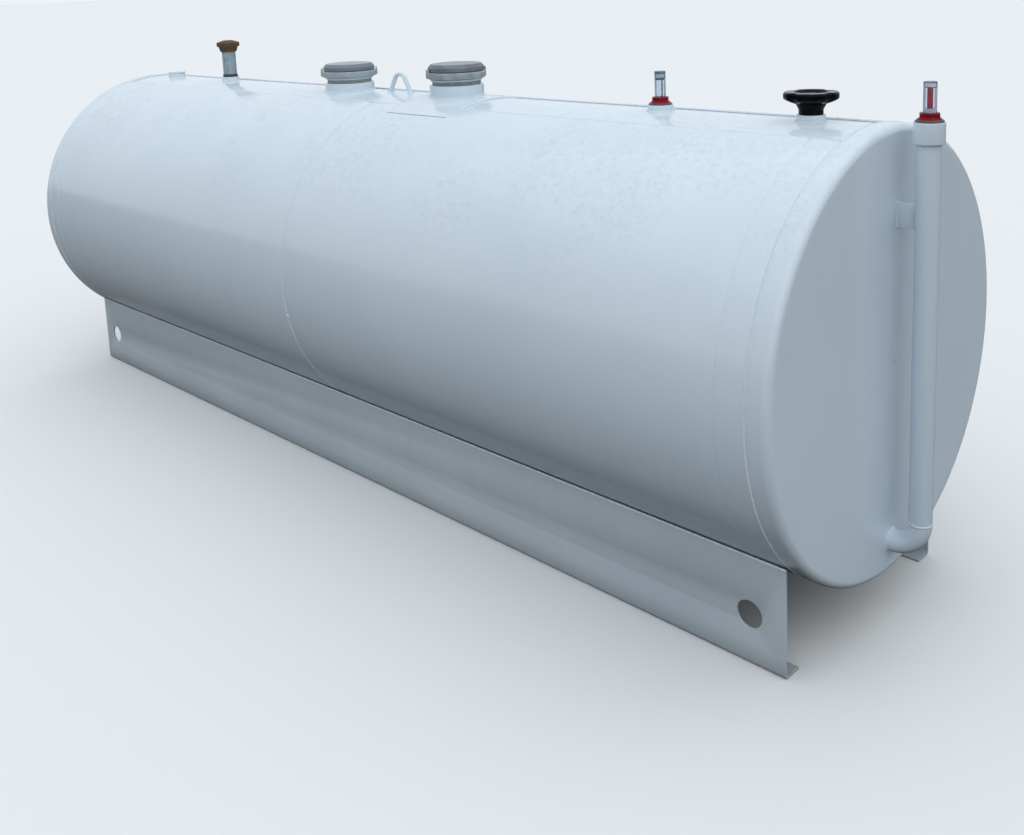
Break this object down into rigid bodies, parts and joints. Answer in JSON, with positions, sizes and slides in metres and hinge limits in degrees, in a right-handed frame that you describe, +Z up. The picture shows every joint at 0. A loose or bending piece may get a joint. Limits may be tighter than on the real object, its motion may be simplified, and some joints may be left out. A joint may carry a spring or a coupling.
{
  "type": "double-wall horizontal storage tank on a skid",
  "caption": "Horizontal cylindrical double-wall steel storage tank with flat flanged heads on a full-length skid, with crest vents, gauges, riser, fill cap and a leak monitor pipe.",
  "frame": {"origin": "on the ground, under the middle of the tank and its monitor pipe", "axes": "+X along the tank towards the head with the monitor pipe, +Z up, -Y is the side the picture shows"},
  "size_m": [4.0796, 1.2192, 1.5489],
  "materials": {
    "tank_paint": "gloss white paint on steel plate",
    "skid_paint": "satin light grey paint on steel plate",
    "vent_metal": "weathered cast aluminium",
    "galvanised": "dull galvanised steel pipe",
    "rusty_iron": "rusty cast iron",
    "dark_fitting": "dark iron bushing",
    "gauge_red": "red moulded gauge body",
    "indicator_red": "red indicator",
    "clear_tube": "clear tube",
    "black_plastic": "glossy black moulding"
  },
  "bodies": {
    "tank": {"primary_shell": "tank_paint", "wrap_rear": "tank_paint", "wrap_front": "tank_paint", "head_rear": "tank_paint", "head_front": "tank_paint", "vent_pad": "tank_paint", "lifting_lug": "tank_paint", "plug_coupling": "tank_paint", "plug": "tank_paint", "riser_coupling": "tank_paint", "riser_pipe": "galvanised", "riser_cap": "rusty_iron", "rear_vent_coupling": "tank_paint", "rear_vent_body": "vent_metal", "front_vent_coupling": "tank_paint", "front_vent_body": "vent_metal", "gauge_coupling": "tank_paint", "gauge_ring": "dark_fitting", "gauge_body": "gauge_red", "gauge_tube": "clear_tube", "gauge_pointer": "indicator_red", "fill_coupling": "tank_paint", "fill_neck": "black_plastic", "fill_cap": "black_plastic", "monitor_elbow": "tank_paint", "monitor_pipe": "tank_paint", "monitor_coupling": "tank_paint", "monitor_bracket": "tank_paint", "leak_ring": "dark_fitting", "leak_body": "gauge_red", "leak_tube": "clear_tube", "leak_indicator": "indicator_red", "skid_near": "skid_paint", "skid_far": "skid_paint", "saddle_rear": "skid_paint", "saddle_middle": "skid_paint", "saddle_front": "skid_paint"},
    "rear_vent_lid": {"rear_vent_cover": "vent_metal", "rear_vent_stem": "vent_metal"},
    "front_vent_lid": {"front_vent_cover": "vent_metal", "front_vent_stem": "vent_metal"}
  },
  "joints": [
    {"name": "rear_vent_lift", "type": "slide", "parent": "tank", "child": "rear_vent_lid", "axis": [0, 0, 1], "range_m": [0, 0.038]},
    {"name": "front_vent_lift", "type": "slide", "parent": "tank", "child": "front_vent_lid", "axis": [0, 0, 1], "range_m": [0, 0.038]}
  ]
}
